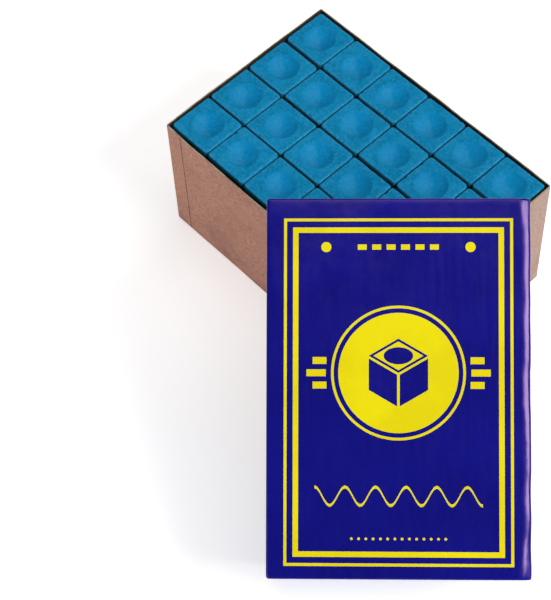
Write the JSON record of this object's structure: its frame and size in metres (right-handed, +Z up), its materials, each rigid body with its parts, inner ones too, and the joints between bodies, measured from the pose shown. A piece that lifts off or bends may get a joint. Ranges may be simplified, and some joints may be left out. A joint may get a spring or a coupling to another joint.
{
  "type": "boxed cue chalk",
  "caption": "Open chipboard tray packed with square blue cue-chalk cubes in paper labels, each with a shallow dimple, and its printed lid leaning on one corner.",
  "frame": {"origin": "centre of the tray's underside, on the surface it stands on", "axes": "+Z up out of the open tray; X along the tray's long side; Y along its short side; the lid leans on the corner at +X, -Y"},
  "size_m": [0.2441, 0.1985, 0.1218],
  "materials": {
    "chalk": "matte",
    "label_paper": "matte",
    "chipboard": "matte",
    "grey_board": "matte",
    "printed_paper": "gloss"
  },
  "bodies": {
    "tray": {"tray_shell": "chipboard", "bottom_row_1": "chalk", "bottom_row_2": "chalk", "bottom_row_3": "chalk", "bottom_row_4": "chalk", "middle_row_1": "chalk", "middle_row_2": "chalk", "middle_row_3": "chalk", "middle_row_4": "chalk"},
    "cube_r1_c1": {"chalk_r1_c1": "chalk", "label_r1_c1": "label_paper"},
    "cube_r1_c2": {"chalk_r1_c2": "chalk", "label_r1_c2": "label_paper"},
    "cube_r1_c3": {"chalk_r1_c3": "chalk", "label_r1_c3": "label_paper"},
    "cube_r1_c4": {"chalk_r1_c4": "chalk", "label_r1_c4": "label_paper"},
    "cube_r1_c5": {"chalk_r1_c5": "chalk", "label_r1_c5": "label_paper"},
    "cube_r1_c6": {"chalk_r1_c6": "chalk", "label_r1_c6": "label_paper"},
    "cube_r2_c1": {"chalk_r2_c1": "chalk", "label_r2_c1": "label_paper"},
    "cube_r2_c2": {"chalk_r2_c2": "chalk", "label_r2_c2": "label_paper"},
    "cube_r2_c3": {"chalk_r2_c3": "chalk", "label_r2_c3": "label_paper"},
    "cube_r2_c4": {"chalk_r2_c4": "chalk", "label_r2_c4": "label_paper"},
    "cube_r2_c5": {"chalk_r2_c5": "chalk", "label_r2_c5": "label_paper"},
    "cube_r2_c6": {"chalk_r2_c6": "chalk", "label_r2_c6": "label_paper"},
    "cube_r3_c1": {"chalk_r3_c1": "chalk", "label_r3_c1": "label_paper"},
    "cube_r3_c2": {"chalk_r3_c2": "chalk", "label_r3_c2": "label_paper"},
    "cube_r3_c3": {"chalk_r3_c3": "chalk", "label_r3_c3": "label_paper"},
    "cube_r3_c4": {"chalk_r3_c4": "chalk", "label_r3_c4": "label_paper"},
    "cube_r3_c5": {"chalk_r3_c5": "chalk", "label_r3_c5": "label_paper"},
    "cube_r3_c6": {"chalk_r3_c6": "chalk", "label_r3_c6": "label_paper"},
    "cube_r4_c1": {"chalk_r4_c1": "chalk", "label_r4_c1": "label_paper"},
    "cube_r4_c2": {"chalk_r4_c2": "chalk", "label_r4_c2": "label_paper"},
    "cube_r4_c3": {"chalk_r4_c3": "chalk", "label_r4_c3": "label_paper"},
    "cube_r4_c4": {"chalk_r4_c4": "chalk", "label_r4_c4": "label_paper"},
    "cube_r4_c5": {"chalk_r4_c5": "chalk", "label_r4_c5": "label_paper"},
    "cube_r4_c6": {"chalk_r4_c6": "chalk", "label_r4_c6": "label_paper"},
    "lid": {"lid_shell": "grey_board", "lid_cover": "printed_paper"}
  },
  "joints": [
    {"name": "lift_r1_c1", "type": "slide", "parent": "tray", "child": "cube_r1_c1", "axis": [0, 0, 1], "range_m": [0, 0.026]},
    {"name": "lift_r1_c2", "type": "slide", "parent": "tray", "child": "cube_r1_c2", "axis": [0, 0, 1], "range_m": [0, 0.026]},
    {"name": "lift_r1_c3", "type": "slide", "parent": "tray", "child": "cube_r1_c3", "axis": [0, 0, 1], "range_m": [0, 0.026]},
    {"name": "lift_r1_c4", "type": "slide", "parent": "tray", "child": "cube_r1_c4", "axis": [0, 0, 1], "range_m": [0, 0.026]},
    {"name": "lift_r1_c5", "type": "slide", "parent": "tray", "child": "cube_r1_c5", "axis": [0, 0, 1], "range_m": [0, 0.026]},
    {"name": "lift_r1_c6", "type": "slide", "parent": "tray", "child": "cube_r1_c6", "axis": [0, 0, 1], "range_m": [0, 0.001]},
    {"name": "lift_r2_c1", "type": "slide", "parent": "tray", "child": "cube_r2_c1", "axis": [0, 0, 1], "range_m": [0, 0.026]},
    {"name": "lift_r2_c2", "type": "slide", "parent": "tray", "child": "cube_r2_c2", "axis": [0, 0, 1], "range_m": [0, 0.026]},
    {"name": "lift_r2_c3", "type": "slide", "parent": "tray", "child": "cube_r2_c3", "axis": [0, 0, 1], "range_m": [0, 0.026]},
    {"name": "lift_r2_c4", "type": "slide", "parent": "tray", "child": "cube_r2_c4", "axis": [0, 0, 1], "range_m": [0, 0.026]},
    {"name": "lift_r2_c5", "type": "slide", "parent": "tray", "child": "cube_r2_c5", "axis": [0, 0, 1], "range_m": [0, 0.001]},
    {"name": "lift_r2_c6", "type": "slide", "parent": "tray", "child": "cube_r2_c6", "axis": [0, 0, 1], "range_m": [0, 0.001]},
    {"name": "lift_r3_c1", "type": "slide", "parent": "tray", "child": "cube_r3_c1", "axis": [0, 0, 1], "range_m": [0, 0.026]},
    {"name": "lift_r3_c2", "type": "slide", "parent": "tray", "child": "cube_r3_c2", "axis": [0, 0, 1], "range_m": [0, 0.026]},
    {"name": "lift_r3_c3", "type": "slide", "parent": "tray", "child": "cube_r3_c3", "axis": [0, 0, 1], "range_m": [0, 0.026]},
    {"name": "lift_r3_c4", "type": "slide", "parent": "tray", "child": "cube_r3_c4", "axis": [0, 0, 1], "range_m": [0, 0.001]},
    {"name": "lift_r3_c5", "type": "slide", "parent": "tray", "child": "cube_r3_c5", "axis": [0, 0, 1], "range_m": [0, 0.001]},
    {"name": "lift_r3_c6", "type": "slide", "parent": "tray", "child": "cube_r3_c6", "axis": [0, 0, 1], "range_m": [0, 0.001]},
    {"name": "lift_r4_c1", "type": "slide", "parent": "tray", "child": "cube_r4_c1", "axis": [0, 0, 1], "range_m": [0, 0.026]},
    {"name": "lift_r4_c2", "type": "slide", "parent": "tray", "child": "cube_r4_c2", "axis": [0, 0, 1], "range_m": [0, 0.026]},
    {"name": "lift_r4_c3", "type": "slide", "parent": "tray", "child": "cube_r4_c3", "axis": [0, 0, 1], "range_m": [0, 0.026]},
    {"name": "lift_r4_c4", "type": "slide", "parent": "tray", "child": "cube_r4_c4", "axis": [0, 0, 1], "range_m": [0, 0.001]},
    {"name": "lift_r4_c5", "type": "slide", "parent": "tray", "child": "cube_r4_c5", "axis": [0, 0, 1], "range_m": [0, 0.001]},
    {"name": "lift_r4_c6", "type": "slide", "parent": "tray", "child": "cube_r4_c6", "axis": [0, 0, 1], "range_m": [0, 0.02]},
    {"name": "lid_tilt", "type": "hinge", "parent": "tray", "child": "lid", "pos_m": [0.12161, -0.09815, 0], "axis": [0.7034, 0.7108, 0], "range_deg": [0, 60.4]}
  ]
}
